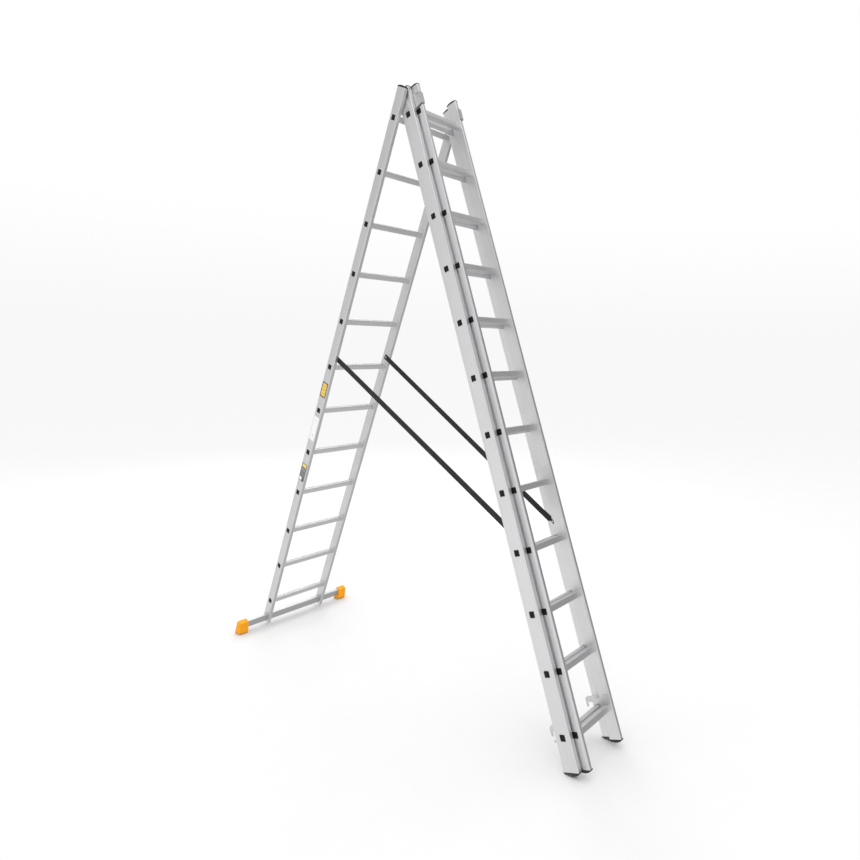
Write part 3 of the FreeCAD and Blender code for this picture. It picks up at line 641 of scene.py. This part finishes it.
# ---------------------------------------------------------------- floor, light, camera
FLOOR_SIZE = 120.0
FLOOR_TONE = 0.94
floor_mesh = bmesh.new()
bmesh.ops.create_grid(floor_mesh, x_segments=4, y_segments=4, size=FLOOR_SIZE / 2)
floor = piece_from(floor_mesh, "studio_floor")
floor.location.z = -0.0005
pale = Finish("pale_floor", roughness=0.85, Specular_IOR_Level=0.0)
pale.colour(pale.blend(pale.noise(pale.place(), scale=3.0), (0.74, 0.74, 0.74), (0.76, 0.76, 0.76)))
floor.data.materials.append(pale.material)
floor.visible_glossy = False


def soft_box(name, position, target, size, power):
    light = bpy.data.lights.new(name, "AREA")
    light.shape = "RECTANGLE"
    light.size, light.size_y = size
    light.energy = power
    lamp = bpy.data.objects.new(name, light)
    bpy.context.scene.collection.objects.link(lamp)
    lamp.location = position
    aim = Vector(target) - Vector(position)
    lamp.rotation_euler = aim.to_track_quat("-Z", "Y").to_euler()


LIGHT_TARGET = (0.0, 0.0, 1.5)
soft_box("key_left", (-6.0, 1.0, 3.5), LIGHT_TARGET, (3.0, 4.0), 20.0)
soft_box("top", (0.0, 0.0, 7.0), LIGHT_TARGET, (5.0, 5.0), 30.0)
soft_box("rim", (2.6, 4.6, 4.6), LIGHT_TARGET, (3.0, 3.0), 60.0)

DIM_SIDE = (0.72, -0.66, 0.20)
SIDE_GLOW = (0.40, 0.98, 0.76, 0.20)
HEIGHT_GLOWS = [(-0.5, 0.5, 1.36, 0.70), (-0.85, -0.40, 0.50, 1.0), (0.40, 0.85, 1.0, 2.6)]
EVEN_GLOW = 1.25
BACKDROP = (0.0, 0.20, FLOOR_TONE, 1.0)


def studio_world():
    """Soft surroundings. Mirrored in the metal they are dimmer on one side and brighter low
    down and overhead, matt surfaces are lit evenly, and what is seen behind the object is a
    plain backdrop that meets the floor's tone."""
    world = bpy.data.worlds.new("studio")
    bpy.context.scene.world = world
    world.use_nodes = True
    world.cycles.sampling_method = "NONE"
    tree = world.node_tree
    tree.nodes.clear()
    direction = tree.nodes.new("ShaderNodeTexCoord").outputs["Generated"]
    axes = tree.nodes.new("ShaderNodeSeparateXYZ")
    tree.links.new(direction, axes.inputs[0])

    def ramp(value, numbers):
        node = tree.nodes.new("ShaderNodeMapRange")
        node.interpolation_type = "SMOOTHSTEP"
        tree.links.new(value, node.inputs["Value"])
        for socket, number in zip(("From Min", "From Max", "To Min", "To Max"), numbers):
            node.inputs[socket].default_value = number
        return node.outputs["Result"]

    facing = tree.nodes.new("ShaderNodeVectorMath")
    facing.operation = "DOT_PRODUCT"
    facing.inputs[1].default_value = DIM_SIDE
    tree.links.new(direction, facing.inputs[0])
    glow = ramp(facing.outputs["Value"], SIDE_GLOW)
    for numbers in HEIGHT_GLOWS:
        product = tree.nodes.new("ShaderNodeMath")
        product.operation = "MULTIPLY"
        tree.links.new(glow, product.inputs[0])
        tree.links.new(ramp(axes.outputs["Z"], numbers), product.inputs[1])
        glow = product.outputs[0]
    seen = tree.nodes.new("ShaderNodeLightPath")
    lit = tree.nodes.new("ShaderNodeMix")
    tree.links.new(seen.outputs["Is Diffuse Ray"], lit.inputs[0])
    tree.links.new(glow, lit.inputs[2])
    lit.inputs[3].default_value = EVEN_GLOW
    level = tree.nodes.new("ShaderNodeMix")
    tree.links.new(seen.outputs["Is Camera Ray"], level.inputs[0])
    tree.links.new(lit.outputs[0], level.inputs[2])
    tree.links.new(ramp(axes.outputs["Z"], BACKDROP), level.inputs[3])
    surroundings = tree.nodes.new("ShaderNodeBackground")
    surroundings.inputs["Color"].default_value = (1.0, 1.0, 1.0, 1.0)
    tree.links.new(level.outputs[0], surroundings.inputs["Strength"])
    output = tree.nodes.new("ShaderNodeOutputWorld")
    tree.links.new(surroundings.outputs["Background"], output.inputs["Surface"])


studio_world()

CAMERA_PLACE = (-2.4669, -2.5700, 1.9052)
CAMERA_YAW = 36.69
CAMERA_PITCH = -4.21
CAMERA_ROLL = 1.753
LENS = 26.82
SHIFT = (-0.1156, -0.0491)


def camera():
    data = bpy.data.cameras.new("camera")
    data.sensor_width = 36.0
    data.lens = LENS
    data.shift_x, data.shift_y = SHIFT
    data.clip_end = 200.0
    eye = bpy.data.objects.new("camera", data)
    bpy.context.scene.collection.objects.link(eye)
    yaw, pitch, roll = (math.radians(v) for v in (CAMERA_YAW, CAMERA_PITCH, CAMERA_ROLL))
    forward = Vector((math.cos(yaw) * math.cos(pitch), math.sin(yaw) * math.cos(pitch), math.sin(pitch)))
    right = forward.cross(Vector((0.0, 0.0, 1.0))).normalized()
    up = right.cross(forward)
    turned_right = right * math.cos(roll) + up * math.sin(roll)
    turned_up = up * math.cos(roll) - right * math.sin(roll)
    turn = Matrix((turned_right, turned_up, -forward)).transposed().to_4x4()
    eye.matrix_world = Matrix.Translation(CAMERA_PLACE) @ turn
    bpy.context.scene.camera = eye


camera()
bpy.context.scene.view_settings.view_transform = "Standard"
